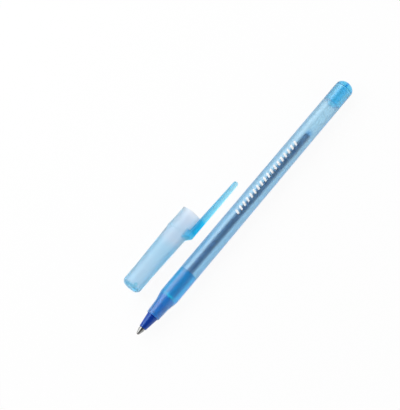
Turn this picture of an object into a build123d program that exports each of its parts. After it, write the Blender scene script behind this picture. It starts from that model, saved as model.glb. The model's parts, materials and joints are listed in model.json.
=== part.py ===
from build123d import *

import os
from math import cos, radians, sin

# A stick ballpoint pen lies along X with its point towards -X. Its cap is off and lies beside it, towards +Y.
# Lengths are millimetres. Pen stations run back from the front of the ball, cap stations from the closed end.

# Whole pen
pen_length = 142.0
overrun = 1.0

# Clearances, each on the radius
press_gap = 0.02
ball_gap = 0.02
guide_gap = 0.2
cap_gap = 0.1
seat_gap = 0.3
chamber_gap = 0.45

# Ball and metal point
ball_diameter = 1.0
ball_proud = 0.28
rim_wall = 0.1
point_reach = 3.4
point_taper = 2.2
point_diameter = 2.55
point_shank_diameter = 1.9
point_shank_length = 6.0
point_channel_diameter = 0.6

# Tip holder
cone_length = 6.5
cone_front_diameter = 3.2
spigot_length = 10.0
holder_channel_diameter = 1.2
tube_depth = 6.0

# Ink tube and ink
tube_diameter = 3.0
tube_wall = 0.55
tube_rear_room = 6.0
tube_empty_length = 11.8

# Barrel
nose_front_diameter = 5.9
nose_rear_diameter = 6.65
nose_length = 6.2
nose_wall = 0.7
nose_step = 0.42
nose_edge = 0.25
shoulder_length = 4.3
guide_length = 12.9
barrel_front_diameter = 8.5
barrel_rear_diameter = 8.15
barrel_wall = 0.8
barrel_straight = 22.0

# End plug
dome_length = 3.3
plug_length = 8.7
plug_wall = 1.1
plug_vent_diameter = 0.9

# Cap
cap_cover = 34.5
tip_room = 4.8
cap_floor = 1.6
cap_end_wall = 0.93
cap_end_edge = 2.0
cap_straight = 9.6
cap_vent_diameter = 2.2
waist_wall = 0.6
ring_height = 0.2
ring_length = 1.4
ring_flat = 0.5
collar_length = 9.6
flare_length = 3.6
collar_root_wall = 0.68
collar_wall = 0.49
mouth_wall = 0.44

# Clip
clip_setback = 1.4
clip_ramp = 1.9
clip_root_length = 4.2
clip_reach = 22.0
clip_gap = 1.1
clip_root_thickness = 1.42
clip_tip_thickness = 0.99
clip_flare = 0.42
clip_root_width = 3.75
clip_tip_width = 2.6
clip_tip_round_share = 0.42
clip_edge = 0.3

# Where the cap lies: its closed end behind the ball, its clip clear of the barrel and raised from the floor
cap_setback = 12.8
row_gap = 3.11
clip_lift = 29.3

# Pen radii
ball_radius = ball_diameter / 2
rim_radius = ball_radius + rim_wall
tube_bore = tube_diameter - 2 * tube_wall
nose_front_radius = nose_front_diameter / 2
nose_rear_radius = nose_rear_diameter / 2
cone_base_radius = nose_front_radius - nose_step
spigot_bore = nose_front_diameter - 2 * nose_wall
spigot_diameter = spigot_bore - 2 * press_gap
barrel_front_radius = barrel_front_diameter / 2
barrel_rear_radius = barrel_rear_diameter / 2
barrel_bore = barrel_rear_diameter - 2 * barrel_wall
plug_diameter = barrel_bore - 2 * press_gap
guide_bore = tube_diameter + 2 * guide_gap

# Pen stations
shank_end = point_reach + point_shank_length
nose_front = point_reach + cone_length
nose_rear = nose_front + nose_length
spigot_end = nose_front + spigot_length
tube_front = spigot_end - tube_depth
shoulder_end = nose_rear + shoulder_length
guide_end = shoulder_end + guide_length
barrel_end = pen_length - dome_length
straight_start = barrel_end - barrel_straight
plug_front = barrel_end - plug_length
tube_rear = plug_front - tube_rear_room
ink_rear = tube_rear - tube_empty_length

# Cap radii and stations, its inside following the pen that it covers
chamber_radius = nose_front_radius + chamber_gap
seat_radius = nose_rear_radius + seat_gap
bore_radius = barrel_front_radius + cap_gap
cap_end_radius = chamber_radius + cap_end_wall
waist_radius = bore_radius + waist_wall
ring_radius = waist_radius + ring_height
collar_root_radius = bore_radius + collar_root_wall
collar_radius = bore_radius + collar_wall
mouth_radius = bore_radius + mouth_wall
cap_lead = cap_floor + tip_room
cap_length = cap_lead + cap_cover
seat_front = cap_lead + nose_rear
seat_rear = cap_lead + shoulder_end
ring_middle = cap_length - collar_length
ring_front = ring_middle - ring_length / 2
ring_rear = ring_middle + ring_length / 2

# Clip stations, and its faces by their distance from the cap's axis
clip_start = ring_middle - clip_setback
clip_ramp_end = clip_start + clip_ramp
clip_root_end = clip_start + clip_root_length
clip_tip = cap_length + clip_reach
clip_inner = waist_radius + clip_gap
clip_outer = clip_inner + clip_root_thickness
clip_tip_outer = clip_outer + clip_flare
clip_tip_inner = clip_tip_outer - clip_tip_thickness
clip_tip_radius = clip_tip_width * clip_tip_round_share

# Pen and cap side by side on the floor, with the origin under the middle of the pair
clip_side_reach = clip_tip_outer * cos(radians(clip_lift)) + clip_tip_width / 2 * sin(radians(clip_lift))
row_pitch = barrel_front_radius + row_gap + clip_side_reach
pen_axis_y = -(row_pitch + ring_radius - barrel_front_radius) / 2
pen_place = Pos(-pen_length / 2, pen_axis_y, barrel_front_radius)
cap_place = Pos(cap_setback - pen_length / 2, pen_axis_y + row_pitch, ring_radius) * Rot(180 - clip_lift, 0, 0)


def turned(*outline):
    """Solid turned about X from the corners of its half outline, each a station and a radius."""
    return revolve(make_face(Polyline(*outline, close=True)), axis=Axis.X)


def rod(start, end, diameter):
    """Plain round rod along X between two stations."""
    return turned((start, 0), (start, diameter / 2), (end, diameter / 2), (end, 0))


def make_barrel():
    """Nose, conical shoulder and tapering tube in one moulding, bored in three steps."""
    outside = turned(
        (nose_front, 0),
        (nose_front, nose_front_radius),
        (nose_rear, nose_rear_radius),
        (shoulder_end, barrel_front_radius),
        (straight_start, barrel_rear_radius),
        (barrel_end, barrel_rear_radius),
        (barrel_end, 0),
    )
    outside = fillet(outside.edges().group_by(Axis.X)[0], nose_edge)
    nose_hole = rod(nose_front - overrun, spigot_end, spigot_bore)
    guide_hole = rod(nose_front, guide_end + overrun, guide_bore)
    main_hole = rod(guide_end, barrel_end + overrun, barrel_bore)
    return outside - nose_hole - guide_hole - main_hole


def make_end_plug():
    """Elliptical dome that closes the barrel, on a hollow shank pressed into the bore."""
    dome_arc = EllipticalCenterArc((barrel_end, 0), dome_length, barrel_rear_radius, arc_size=90)
    dome_base = Polyline((barrel_end, barrel_rear_radius), (barrel_end, 0), (pen_length, 0))
    dome = revolve(make_face([dome_arc, dome_base]), axis=Axis.X)
    shank = rod(plug_front, barrel_end, plug_diameter)
    hollow = rod(plug_front - overrun, barrel_end, plug_diameter - 2 * plug_wall)
    vent = rod(barrel_end - overrun, pen_length + overrun, plug_vent_diameter)
    return dome + shank - hollow - vent


def make_tip_holder():
    """Cone seated on the nose, with a spigot pressed into it and a stepped hole from end to end."""
    outside = turned(
        (point_reach, 0),
        (point_reach, cone_front_diameter / 2),
        (nose_front, cone_base_radius),
        (nose_front, spigot_diameter / 2),
        (spigot_end, spigot_diameter / 2),
        (spigot_end, 0),
    )
    point_hole = rod(point_reach - overrun, shank_end, point_shank_diameter + 2 * press_gap)
    channel = rod(point_reach, spigot_end, holder_channel_diameter)
    tube_hole = rod(tube_front, spigot_end + overrun, tube_diameter + 2 * press_gap)
    return outside - point_hole - channel - tube_hole


def make_point_socket():
    """Metal point: a taper to the rim that holds the ball, a body and a shank, with an ink channel."""
    outside = turned(
        (ball_proud, 0),
        (ball_proud, rim_radius),
        (ball_proud + point_taper, point_diameter / 2),
        (point_reach, point_diameter / 2),
        (point_reach, point_shank_diameter / 2),
        (shank_end, point_shank_diameter / 2),
        (shank_end, 0),
    )
    seat = Pos(ball_radius, 0, 0) * Sphere(ball_radius + ball_gap)
    channel = rod(ball_radius, shank_end + overrun, point_channel_diameter)
    return outside - seat - channel


def make_writing_ball():
    """Ball held by the rim of the point, free to roll."""
    return Pos(ball_radius, 0, 0) * Sphere(ball_radius)


def make_ink_tube():
    """Thin tube from the tip holder almost to the plug, open at the rear."""
    outside = rod(tube_front, tube_rear, tube_diameter)
    return outside - rod(tube_front - overrun, tube_rear + overrun, tube_bore)


def make_ink():
    """Ink from behind the ball, through the point and the tip holder, to its level in the tube."""
    point_radius = point_channel_diameter / 2 - press_gap
    holder_radius = holder_channel_diameter / 2 - press_gap
    tube_radius = tube_bore / 2 - press_gap
    ink_front = ball_diameter + ball_gap
    return turned(
        (ink_front, 0),
        (ink_front, point_radius),
        (shank_end, point_radius),
        (shank_end, holder_radius),
        (tube_front, holder_radius),
        (tube_front, tube_radius),
        (ink_rear, tube_radius),
        (ink_rear, 0),
    )


def make_cap_outside():
    """Body that widens to a raised ring, with a collar that draws in to the mouth."""
    outside = turned(
        (0, 0),
        (0, cap_end_radius),
        (cap_straight, cap_end_radius),
        (ring_front, waist_radius),
        (ring_middle - ring_flat / 2, ring_radius),
        (ring_middle + ring_flat / 2, ring_radius),
        (ring_rear, collar_root_radius),
        (ring_rear + flare_length, collar_radius),
        (cap_length, mouth_radius),
        (cap_length, 0),
    )
    return fillet(outside.edges().group_by(Axis.X)[0], cap_end_edge)


def make_clip():
    """Blade that ramps up from the ring and runs past the mouth, narrower and thinner at its round tip."""
    side = Polyline(
        (clip_start, bore_radius),
        (clip_start, waist_radius),
        (clip_ramp_end, clip_outer),
        (clip_tip, clip_tip_outer),
        (clip_tip, clip_tip_inner),
        (clip_root_end, clip_inner),
        (clip_root_end, bore_radius),
        close=True,
    )
    plan = Polyline(
        (clip_start, -clip_root_width / 2),
        (clip_tip, -clip_tip_width / 2),
        (clip_tip, clip_tip_width / 2),
        (clip_start, clip_root_width / 2),
        close=True,
    )
    blade = extrude(make_face(side), clip_root_width / 2, both=True)
    blade &= extrude(make_face(Plane.XZ * plan), clip_tip_outer + overrun, both=True)
    blade = fillet(blade.edges().filter_by(Axis.Y).group_by(Axis.X)[-1], clip_tip_radius)
    crown = blade.faces().sort_by(Axis.Y)[-1]
    return fillet(crown.edges().filter_by(Axis.Z, reverse=True), clip_edge)


def make_cap():
    """Cap and clip in one moulding, hollowed to fit over the nose, shoulder and barrel, with a vent."""
    hollow = turned(
        (cap_floor, 0),
        (cap_floor, chamber_radius),
        (seat_front, seat_radius),
        (seat_rear, bore_radius),
        (cap_length + overrun, bore_radius),
        (cap_length + overrun, 0),
    )
    vent = rod(-overrun, cap_floor + overrun, cap_vent_diameter)
    return make_cap_outside() + make_clip() - hollow - vent


pieces = {
    "barrel": pen_place * make_barrel(),
    "end_plug": pen_place * make_end_plug(),
    "tip_holder": pen_place * make_tip_holder(),
    "point_socket": pen_place * make_point_socket(),
    "writing_ball": pen_place * make_writing_ball(),
    "ink_tube": pen_place * make_ink_tube(),
    "ink": pen_place * make_ink(),
    "cap": cap_place * make_cap(),
}

os.makedirs("parts", exist_ok=True)
for name, piece in pieces.items():
    export_step(piece, f"parts/{name}.step")
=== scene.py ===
"""Looks of a stick ballpoint pen and its cap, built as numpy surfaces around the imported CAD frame.

Lengths are metres. The pen and the cap lie along X, and an outline is a list of points that each hold a
station on X and a radius.
"""
import json

import bpy
import numpy as np
from mathutils import Matrix, Vector


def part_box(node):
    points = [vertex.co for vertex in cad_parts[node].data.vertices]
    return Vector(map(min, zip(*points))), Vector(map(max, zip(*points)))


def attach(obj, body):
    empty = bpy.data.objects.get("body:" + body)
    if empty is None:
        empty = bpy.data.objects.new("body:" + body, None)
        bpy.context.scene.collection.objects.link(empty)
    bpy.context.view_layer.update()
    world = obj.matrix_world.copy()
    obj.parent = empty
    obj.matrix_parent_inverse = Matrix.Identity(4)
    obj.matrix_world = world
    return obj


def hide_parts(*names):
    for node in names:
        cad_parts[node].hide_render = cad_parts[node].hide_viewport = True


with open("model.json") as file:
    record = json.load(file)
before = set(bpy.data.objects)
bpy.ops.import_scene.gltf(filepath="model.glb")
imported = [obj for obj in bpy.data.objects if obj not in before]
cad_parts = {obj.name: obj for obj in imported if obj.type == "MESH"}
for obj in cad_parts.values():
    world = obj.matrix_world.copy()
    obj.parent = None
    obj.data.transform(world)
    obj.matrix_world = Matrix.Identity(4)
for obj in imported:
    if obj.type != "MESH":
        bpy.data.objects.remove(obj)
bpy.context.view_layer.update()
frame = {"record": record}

bl_info = {
    "name": "Stick Ballpoint Pen",
    "version": (1, 0, 0),
    "blender": (4, 5, 0),
    "location": "3D View > Sidebar > Pen",
    "description": "Builds a translucent stick ballpoint pen lying beside its cap",
    "category": "Add Mesh",
}

MM = 0.001


def half_width(low, high):
    """Half of a box's width across the pen."""
    return (high.y - low.y) / 2


# What the frame gives: the ends and radii of the nodes, the cap's axis and its bore
barrel_low, barrel_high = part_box("barrel")
plug_low, plug_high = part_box("end_plug")
holder_low, holder_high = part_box("tip_holder")
socket_low, socket_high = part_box("point_socket")
ball_low, ball_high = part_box("writing_ball")
tube_low, tube_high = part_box("ink_tube")
ink_low, ink_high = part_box("ink")
cap_low, cap_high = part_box("cap")
barrel_radius = half_width(barrel_low, barrel_high)
rear_radius = half_width(plug_low, plug_high)
holder_radius = half_width(holder_low, holder_high)
socket_radius = half_width(socket_low, socket_high)
ball_radius = half_width(ball_low, ball_high)
tube_radius = half_width(tube_low, tube_high)
ball_middle = (ball_low.x + ball_high.x) / 2
pen_axis = ((barrel_low.y + barrel_high.y) / 2, (barrel_low.z + barrel_high.z) / 2)
mounts = {mount["name"]: mount for mount in frame["record"]["mounts"]}
cap_axis = tuple(mounts["cap_mouth"]["pos_m"][1:])
bore_length = mounts["cap_mouth"]["dims"]["length_mm"] * MM
bore_radius = mounts["cap_mouth"]["dims"]["r_mm"] * MM
cap_mouth = mounts["cap_mouth"]["pos_m"][0] + bore_length / 2
barrel_straight = mounts["barrel_rear"]["dims"]["length_mm"] * MM
taper_end = barrel_high.x - barrel_straight

# Sides of the turned meshes
SIDES = 96
SMALL_SIDES = 48

# Margins against rounding, of a cosine, of a number of steps and of a station
COSINE_MARGIN = 1e-9
STEP_MARGIN = 1e-6
STATION_MARGIN = 1e-7

# Refraction of the plastics, and how strongly their walls tint light, per metre
PLASTIC_IOR = 1.49
BARREL_DENSITY = 700.0
CAP_DENSITY = 480.0

# Roughness of the barrel where it is clear and where it is frosted, and the share of frost on its bore
CLEAR = 0.05
FROSTED = 0.38
BORE_FROST = 0.91

# Half lengths of the blends between two colours along a piece, at most places and at the cap's mouth
BLEND = 0.3 * MM
# At the cap's mouth the clip's colour steps out of the painted shade of the collar behind it
MOUTH_BLEND = 0.8 * MM

# Reach of the film of ink ahead of the column's end and behind it
SMEAR_START = 0.2 * MM
SMEAR_LENGTH = 3.0 * MM

# Sizes of the lights along X and across, and their distance from the origin
KEY_SIZE = (1.0, 0.5)
FILL_SIZE = (0.9, 0.9)
LIGHT_DISTANCE = 0.6

# Heights in the sky, as sines, between which it darkens
SKY_LOW, SKY_HIGH = 0.15, 0.75


def length(name, description, millimetres):
    """A length that a user may change, given here in millimetres."""
    return bpy.props.FloatProperty(
        name=name, description=description, default=millimetres * MM, min=0.0, precision=5,
        unit="LENGTH", subtype="DISTANCE",
    )


def offset(name, description, millimetres):
    """A place along an axis that a user may change, given here in millimetres."""
    return bpy.props.FloatProperty(
        name=name, description=description, default=millimetres * MM, unit="LENGTH",
    )


def colour(name, description, red, green, blue):
    """A linear colour that a user may change."""
    return bpy.props.FloatVectorProperty(
        name=name, description=description, default=(red, green, blue), min=0.0, max=1.0, size=3,
        subtype="COLOR",
    )


def angle(name, description, degrees):
    """An angle that a user may change, given here in degrees."""
    return bpy.props.FloatProperty(
        name=name, description=description, default=np.radians(degrees), subtype="ANGLE",
    )


def factor(name, description, share):
    """A share from 0 to 1 that a user may change."""
    return bpy.props.FloatProperty(
        name=name, description=description, default=share, min=0.0, max=1.0, subtype="FACTOR",
    )


def level(name, description, value, measure="NONE"):
    """A plain number, or one in a unit of its own, that a user may change."""
    return bpy.props.FloatProperty(name=name, description=description, default=value, min=0.0, unit=measure)


class PenSizes(bpy.types.PropertyGroup):
    """Sizes of the pen's pieces that the frame's boxes don't give."""

    seam: length("Seam", "Gap where two pieces meet face to face", 0.03)
    edge: length("Edge", "Radius of a moulded edge", 0.12)
    ring_spacing: length("Ring spacing", "Longest step between the rings of a turned mesh", 0.8)
    nose_front_radius: length("Nose front", "Radius of the barrel's nose at its front", 2.95)
    nose_rear_radius: length("Nose rear", "Radius of the nose where the shoulder starts", 3.325)
    nose_length: length("Nose length", "Length of the nose", 6.2)
    nose_edge: length("Nose edge", "Radius of the nose's front edge", 0.25)
    shoulder_length: length("Shoulder length", "Length of the conical shoulder", 4.3)
    shoulder_ease: length("Shoulder ease", "Radius where the shoulder meets the nose and the barrel", 0.12)
    guide_length: length("Guide length", "Length of the thick wall behind the shoulder", 12.9)
    guide_bore: length("Guide bore", "Radius of the bore in the thick wall", 1.7)
    nose_bore: length("Nose bore", "Radius of the bore that takes the tip holder", 2.25)
    barrel_bore: length("Barrel bore", "Radius of the main bore", 3.275)
    plug_radius: length("Plug radius", "Radius of the plug's shank, pressed tight into the bore", 3.285)
    plug_wall: length("Plug wall", "Wall of the plug's hollow shank", 1.1)
    plug_vent: length("Plug vent", "Radius of the vent in the dome", 0.45)
    cone_front_radius: length("Cone front", "Radius of the tip holder at its front", 1.6)
    spigot_radius: length("Spigot", "Radius of the tip holder's spigot", 2.23)
    holder_channel: length("Holder channel", "Radius of the ink channel in the tip holder", 0.6)
    fit_gap: length("Fit gap", "Gap of a press fit, on the radius", 0.02)
    point_taper: length("Point taper", "Length of the metal point's taper", 2.2)
    point_rim: length("Point rim", "Length of the rim that is rolled over the ball", 0.3)
    rim_wall: length("Rim wall", "Wall of the rim around the ball", 0.1)
    shank_radius: length("Shank", "Radius of the point's shank inside the tip holder", 0.95)
    point_channel: length("Point channel", "Radius of the ink channel in the point", 0.3)
    tube_wall: length("Tube wall", "Wall of the ink tube", 0.55)
    tube_lean: length("Tube lean", "Distance of the ink tube's free end from the axis, to the side", 1.1)
    wetting: length("Wetting", "Overlap of the ink and the tube, so that no air shows between them", 0.01)
    meniscus: length("Meniscus", "Depth of the hollow in the ink's rear end", 0.6)


class PrintSizes(bpy.types.PropertyGroup):
    """Sizes of the row of ticks printed on the barrel."""

    count: bpy.props.IntProperty(name="Count", description="Number of ticks in the row", default=18, min=1)
    setback: length("Setback", "Distance of the first tick from the barrel's front", 56.0)
    pitch: length("Pitch", "Distance from tick to tick", 2.3)
    width: length("Width", "Width of a tick along the barrel", 1.05)
    height: length("Height", "Height of a tick round the barrel", 2.2)
    slant: length("Slant", "Lean of a tick's top along the barrel", 0.7)
    turn: angle("Turn", "Turn of the row from the top of the barrel, towards +Y", 4.0)
    layer: length("Layer", "Thickness of the printing ink", 0.02)


class CapSizes(bpy.types.PropertyGroup):
    """Sizes of the cap and its clip that the frame's boxes don't give."""

    ring_spacing: length("Ring spacing", "Longest step between the rings of the turned mesh", 0.5)
    root_spacing: length("Root spacing", "Longest step between the rings under the clip", 0.16)
    edge: length("Edge", "Radius of a moulded edge", 0.12)
    end_radius: length("End radius", "Radius of the closed end", 4.33)
    end_edge: length("End edge", "Radius of the closed end's round edge", 2.3)
    floor_wall: length("End wall", "Wall of the closed end", 1.6)
    vent: length("Vent", "Radius of the vent in the closed end", 1.1)
    straight: length("Straight end", "Length of the body's straight part", 9.6)
    chamber_radius: length("Chamber", "Radius of the inside at the floor", 3.4)
    seat_radius: length("Seat", "Radius of the inside where the conical seat starts", 3.625)
    seat_length: length("Seat length", "Length of the conical seat", 4.3)
    waist_radius: length("Waist", "Radius of the body in front of the ring", 4.95)
    ring_radius: length("Ring", "Radius of the raised ring", 5.15)
    ring_length: length("Ring length", "Length of the raised ring", 1.4)
    ring_flat: length("Ring flat", "Length of the ring's top", 0.5)
    collar_length: length("Collar", "Length from the ring's middle to the mouth", 9.6)
    collar_root_radius: length("Collar root", "Radius of the collar behind the ring", 5.03)
    flare_length: length("Flare", "Length over which the collar draws in", 3.6)
    collar_radius: length("Collar radius", "Radius of the collar behind the flare", 4.84)
    mouth_radius: length("Mouth", "Radius of the collar at the mouth", 4.79)
    gate_setback: length("Gate setback", "Distance of the gate mark from the closed end", 2.25)
    gate_lean: angle("Gate lean", "Turn of the gate mark from the top of the cap", 25.0)
    gate_radius: length("Gate mark", "Radius of the gate mark", 0.85)
    clip_lift: angle("Clip lift", "Angle of the clip above the floor", 29.3)
    clip_setback: length("Clip setback", "Start of the clip ahead of the ring's middle", 1.4)
    clip_ramp: length("Clip ramp", "Length of the sloped front of the clip", 1.9)
    clip_root: length("Clip root", "Length of the clip's root on the cap", 4.2)
    clip_inner: length("Clip inside", "Distance of the blade's inside from the axis at its root", 6.05)
    clip_outer: length("Clip outside", "Distance of the blade's outside from the axis at its root", 7.47)
    clip_tip_inner: length("Tip inside", "Distance of the blade's inside from the axis at its tip", 6.9)
    clip_tip_outer: length("Tip outside", "Distance of the blade's outside from the axis at its tip", 7.89)
    clip_root_width: length("Root width", "Width of the clip at its root", 3.75)
    clip_tip_width: length("Tip width", "Width of the clip at its tip", 2.6)
    clip_round: length("Tip round", "Length of the rounded tip", 1.15)
    clip_edge: length("Clip edge", "Radius of the clip's long edges", 0.3)
    clip_fillet: length("Clip fillet", "Radius where the clip grows out of the cap", 0.25)


class PenColours(bpy.types.PropertyGroup):
    """Colours of the pen's finishes, linear."""

    barrel: colour("Barrel", "Frosted plastic of the thin wall at the rear", 0.95, 0.96, 1.0)
    barrel_front: colour("Barrel front", "Frosted plastic of the thin wall behind the guide", 0.86, 0.91, 1.0)
    azure: colour("Azure", "Frosted plastic of the thick front", 0.10, 1.0, 0.94)
    guide: colour("Guide", "Cloudy plastic around the guide bore", 0.002, 0.48, 0.76)
    shoulder: colour("Shoulder", "Cloudy plastic behind the conical shoulder", 0.001, 0.29, 0.76)
    # Painted highlight: the pale line where the shoulder's rear edge catches the light
    painted_ledge_highlight: colour("Ledge", "Cloudy plastic behind the rear edge of the shoulder", 0.45, 0.98, 1.0)
    nose: colour("Nose", "Cloudy plastic around the nose bore", 0.003, 0.20, 0.68)
    barrel_tint: colour("Barrel tint", "Colour that light takes on in the barrel's wall", 0.42, 0.84, 0.975)
    cap: colour("Cap", "Satin plastic of the cap", 0.945, 0.91, 0.985)
    clip_root: colour("Clip root", "Satin plastic at the front of the clip's root", 0.60, 1.0, 1.0)
    # Deeper beside the collar for thickness and as painted shade of the collar behind; paler past the mouth
    clip: colour("Clip", "Satin plastic of the clip beside the collar, where it is thick", 0.02, 0.68, 0.98)
    clip_blade: colour("Clip blade", "Satin plastic of the clip just past the mouth", 0.33, 0.80, 0.99)
    clip_tip: colour("Clip tip", "Satin plastic of the clip's tip, where it is thin", 0.72, 0.90, 0.99)
    gate: colour("Gate mark", "Denser plastic at the gate mark", 0.35, 0.70, 0.80)
    cap_tint: colour("Cap tint", "Colour that light takes on in the cap's wall", 0.36, 0.90, 0.997)
    plug: colour("Plug", "Plastic of the end plug", 0.27, 0.77, 0.93)
    dome: colour("Dome", "Plastic of the end plug's dome, outside the barrel", 0.09, 0.56, 0.88)
    holder: colour("Tip holder", "Dark blue plastic of the tip holder", 0.002, 0.038, 0.35)
    holder_shine: colour("Holder shine", "Tint of the highlights on the tip holder", 0.40, 0.68, 1.0)
    point: colour("Point", "Turned metal of the point", 0.36, 0.365, 0.36)
    ball: colour("Ball", "Ground metal of the ball, with ink on it", 0.16, 0.10, 0.09)
    tube: colour("Tube", "Milky plastic of the ink tube", 0.97, 0.99, 1.0)
    smear: colour("Smear", "Film of ink left on the tube behind the column", 0.30, 0.60, 0.85)
    ink: colour("Ink", "Thick blue ink", 0.0, 0.148, 0.37)
    ticks: colour("Ticks", "White printing ink on the barrel", 0.93, 0.94, 0.95)


class StageSettings(bpy.types.PropertyGroup):
    """Camera, floor and light."""

    azimuth: angle("Azimuth", "Camera's turn about Z, from looking along +Y", -48.273)
    elevation: angle("Elevation", "Camera's height above the floor", 73.737)
    roll: angle("Roll", "Camera's turn about its line of sight", -2.469)
    distance: length("Distance", "Camera's distance from the point that it aims at", 586.6)
    aim_x: offset("Aim X", "Aim on the floor", -10.91)
    aim_y: offset("Aim Y", "Aim on the floor", 8.03)
    lens: level("Lens", "Focal length in millimetres on a sensor 36 mm wide", 124.0, "CAMERA")
    floor_size: length("Floor width", "Width of the floor", 12000.0)
    floor: colour("Floor colour", "Colour of the floor", 0.96, 0.96, 0.96)
    floor_glow: factor("Floor glow", "Share of the floor that shows plain white", 0.94)
    key: level("Key light", "Power of the long soft light on the +Y side, in watts", 4.1, "POWER")
    key_angle: angle("Key angle", "Lean of the key light from straight above", 46.0)
    fill: level("Fill light", "Power of the soft light on the -Y side, in watts", 0.9, "POWER")
    fill_angle: angle("Fill angle", "Lean of the fill light from straight above", -58.0)
    sky: level("Sky", "Strength of the sky overhead, as gloss and matt surfaces see it", 0.12)
    glass_sky: level("Glass sky", "Strength of the sky overhead, as light inside the plastic sees it", 0.95)


def unit(vectors):
    """The vectors, each divided by its own length."""
    return vectors / np.linalg.norm(vectors, axis=-1, keepdims=True)


def eased(corners, rounds, steps=6):
    """Outline through the corners, with each corner that has a radius replaced by an arc.

    The arc starts and ends at the distance radius / tan(half the inner angle) from its corner. It is the
    rational quadratic curve from start to end with the corner as its middle point, weighted by the sine of
    half the inner angle, which is an exact circle.
    """
    corners = np.array(corners, float)
    rounds = np.array(rounds, float)
    behind = unit(np.roll(corners, 1, 0) - corners)
    ahead = unit(np.roll(corners, -1, 0) - corners)
    inner_cosine = np.clip((behind * ahead).sum(1), -1, 1 - COSINE_MARGIN)
    weight = np.sqrt((1 - inner_cosine) / 2)[:, None, None]
    cut = (rounds * np.sqrt((1 + inner_cosine) / (1 - inner_cosine)))[:, None, None]
    middle = corners[:, None]
    start = middle + behind[:, None] * cut
    end = middle + ahead[:, None] * cut
    t = np.linspace(0, 1, steps + 1)[None, :, None]
    first, second, third = (1 - t) ** 2, 2 * t * (1 - t) * weight, t ** 2
    arcs = (first * start + second * middle + third * end) / (first + second + third)
    keep = (rounds[:, None] > 0) | (np.arange(steps + 1)[None, :] == 0)
    return arcs[keep]


def spaced(outline, longest, closed=True):
    """The outline with its long sides cut into equal steps, none longer than the given length."""
    start = outline if closed else outline[:-1]
    end = np.roll(outline, -1, 0) if closed else outline[1:]
    steps = np.linalg.norm(end - start, axis=1) / longest
    count = np.maximum(1, np.ceil(steps - STEP_MARGIN)).astype(int)
    side = np.repeat(np.arange(len(start)), count)
    step = np.arange(len(side)) - np.repeat(np.cumsum(count) - count, count)
    share = (step / count[side])[:, None]
    points = start[side] * (1 - share) + end[side] * share
    return points if closed else np.concatenate([points, outline[-1:]])


def turned(outline, axis, angles):
    """Points of an outline turned about X: y and z are the axis plus the radius times cosine and sine."""
    station, radius = outline[:, :1], outline[:, 1:]
    across = axis[0] + radius * np.cos(angles)
    height = axis[1] + radius * np.sin(angles)
    return np.stack([np.broadcast_to(station, across.shape), across, height], -1)


def full_turn(count):
    """Equal angles once round."""
    return np.linspace(0, 2 * np.pi, count, endpoint=False)


def grid_faces(rows, columns, closed):
    """Quads of a grid whose columns close into rings, and its rows too where the outline is a loop."""
    row, column = np.meshgrid(np.arange(rows if closed else rows - 1), np.arange(columns), indexing="ij")
    here, below = row * columns, (row + 1) % rows * columns
    beside = (column + 1) % columns
    return np.stack([here + column, here + beside, below + beside, below + column], -1).reshape(-1, 4)


def turned_ring(outline, axis, count):
    """Points and faces of a closed outline turned about X into a hollow piece."""
    return turned(outline, axis, full_turn(count)), [grid_faces(len(outline), count, True)]


def turned_solid(outline, axis, count):
    """Points and faces of an open outline turned about X, whose two ends are poles on the axis."""
    rings = turned(outline[1:-1], axis, full_turn(count)).reshape(-1, 3)
    poles = np.array([[outline[0, 0], *axis], [outline[-1, 0], *axis]])
    here, beside = np.arange(count), (np.arange(count) + 1) % count
    last = len(rings) - count
    front = np.stack([np.full(count, len(rings)), beside, here], -1)
    rear = np.stack([np.full(count, len(rings) + 1), last + here, last + beside], -1)
    return np.concatenate([rings, poles]), [grid_faces(len(outline) - 2, count, False), front, rear]


def add_piece(name, points, faces, materials, body, node=None, finish=None, frost=None):
    """A smooth mesh object from points and lists of faces, riding on a body and standing for a node.

    finish, where it is given, holds the number of each face's material, and frost a value for each point.
    """
    mesh = bpy.data.meshes.new(name)
    mesh.from_pydata(points.reshape(-1, 3).tolist(), [], [face for group in faces for face in group.tolist()])
    if mesh.validate():
        raise RuntimeError(f"{name} has faces that Blender had to mend")
    mesh.polygons.foreach_set("use_smooth", np.ones(len(mesh.polygons), bool))
    for material in materials:
        mesh.materials.append(material)
    if finish is not None:
        mesh.polygons.foreach_set("material_index", finish)
    if frost is not None:
        mesh.attributes.new("frost", "FLOAT", "POINT").data.foreach_set("value", frost)
    piece = bpy.data.objects.new(name, mesh)
    bpy.context.scene.collection.objects.link(piece)
    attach(piece, body)
    if node:
        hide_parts(node)


def feed(tree, socket, value):
    """Link a node's output to an input, or set the input to a number, a vector or a colour."""
    if isinstance(value, bpy.types.NodeSocket):
        tree.links.new(value, socket)
    elif socket.type == "RGBA":
        socket.default_value = (*value, 1.0)
    else:
        socket.default_value = value


def add_node(tree, kind, *values, **settings):
    """A shader node. The values feed its inputs in order.

    A setting feeds the input with its label, spaces being underscores, or else sets the node's attribute.
    """
    node = tree.nodes.new("ShaderNode" + kind)
    for key, value in settings.items():
        label = key.replace("_", " ")
        if label in node.inputs:
            feed(tree, node.inputs[label], value)
        else:
            setattr(node, key, value)
    for socket, value in zip(node.inputs, values):
        feed(tree, socket, value)
    return node


def dress(tree, **settings):
    """Feed inputs of the material's shader by their labels, spaces being underscores."""
    shader = tree.nodes["Principled BSDF"]
    for key, value in settings.items():
        feed(tree, shader.inputs[key.replace("_", " ")], value)


def value_math(tree, operation, *values):
    """Result of one operation on plain values."""
    return add_node(tree, "Math", *values, operation=operation).outputs[0]


def vector_math(tree, operation, *values, result="Vector"):
    """Result of one operation on vectors: a vector, or a value such as a length or a distance."""
    return add_node(tree, "VectorMath", *values, operation=operation).outputs[result]


def ranged(tree, value, low, high, first=0.0, last=1.0, smooth=True):
    """The value carried from between low and high to between first and last, and held beyond them."""
    kind = "SMOOTHSTEP" if smooth else "LINEAR"
    node = add_node(tree, "MapRange", value, low, high, first, last, interpolation_type=kind)
    return node.outputs["Result"]


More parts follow.
